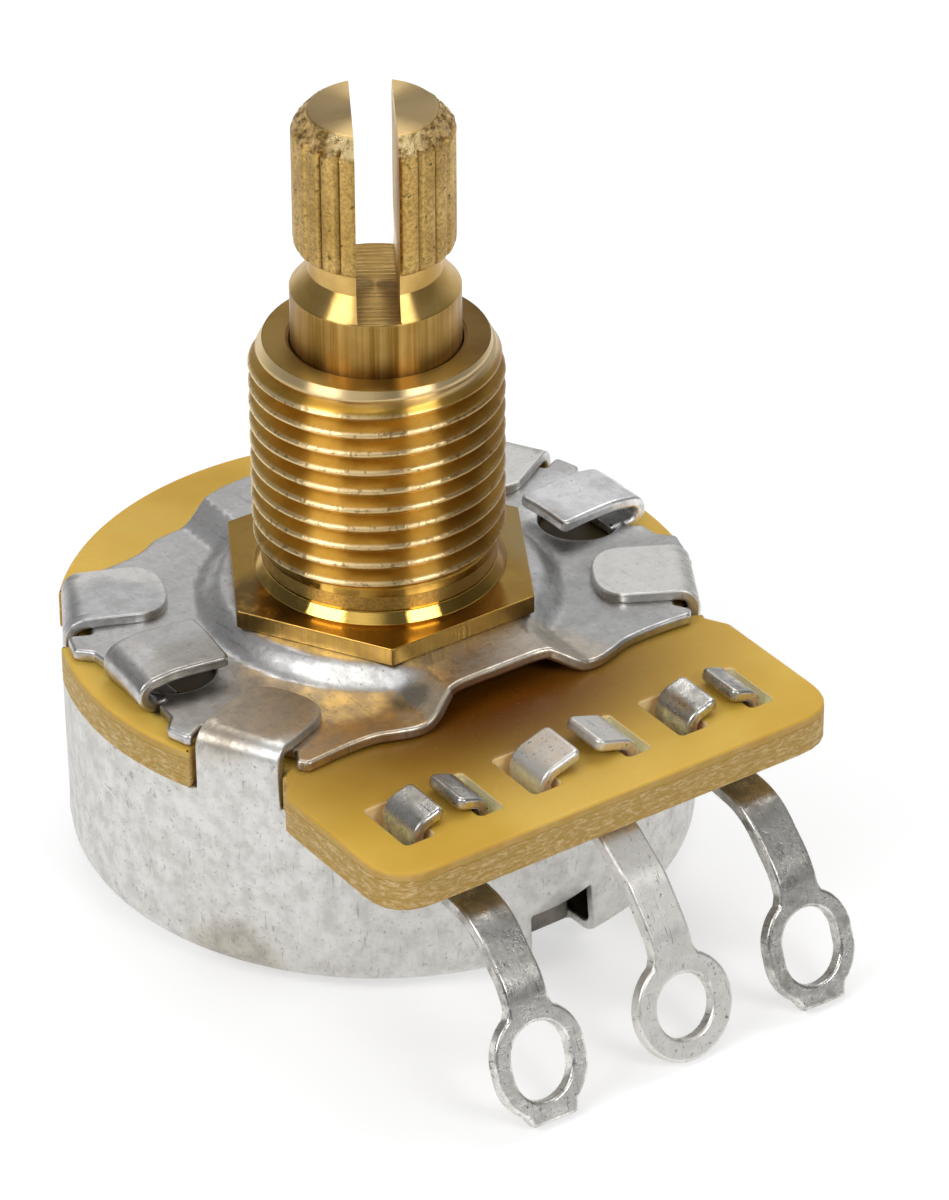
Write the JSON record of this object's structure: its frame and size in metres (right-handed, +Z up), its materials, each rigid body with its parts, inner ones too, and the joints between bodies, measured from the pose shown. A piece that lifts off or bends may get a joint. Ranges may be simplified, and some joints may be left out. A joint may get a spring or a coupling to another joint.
{
  "type": "rotary potentiometer",
  "caption": "Rotary potentiometer with a split knurled brass shaft, threaded bushing and lugged plate over a round metal can, and ring-ended solder terminals on an amber board.",
  "frame": {"origin": "centre of the panel hole: on the shaft's axis, in the plane where the bushing's hexagon seats against the panel", "axes": "+Z up along the shaft, from the can to the knurled tip; the solder terminals point towards -Y; +X to the right, seen from the terminals"},
  "size_m": [0.0246, 0.0323, 0.0308],
  "materials": {
    "brass": "turned, slightly dulled",
    "plate": "zinc plated, satin",
    "can": "drawn and plated, matte with fine scratches",
    "terminals": "tinned, mottled",
    "laminate": "resin laminate, satin",
    "carbon": "printed carbon film",
    "silver": "printed silver",
    "contact": "rolled",
    "spring_steel": "rolled",
    "moulding": "moulded"
  },
  "bodies": {
    "housing": {"bushing": "brass", "front_plate": "plate", "terminal_board": "laminate", "can": "can", "terminal_left": "terminals", "terminal_middle": "terminals", "terminal_right": "terminals", "carbon_track": "carbon", "end_pad_left": "silver", "end_pad_right": "silver", "collector_ring": "contact", "spring_washer": "spring_steel"},
    "turning_shaft": {"shaft": "brass", "retaining_ring": "spring_steel", "rotor": "moulding", "wiper": "contact"}
  },
  "joints": [
    {"name": "shaft_turn", "type": "hinge", "parent": "housing", "child": "turning_shaft", "pos_m": [0, 0, 0], "axis": [0, 0, 1], "range_deg": [-150, 150]}
  ]
}
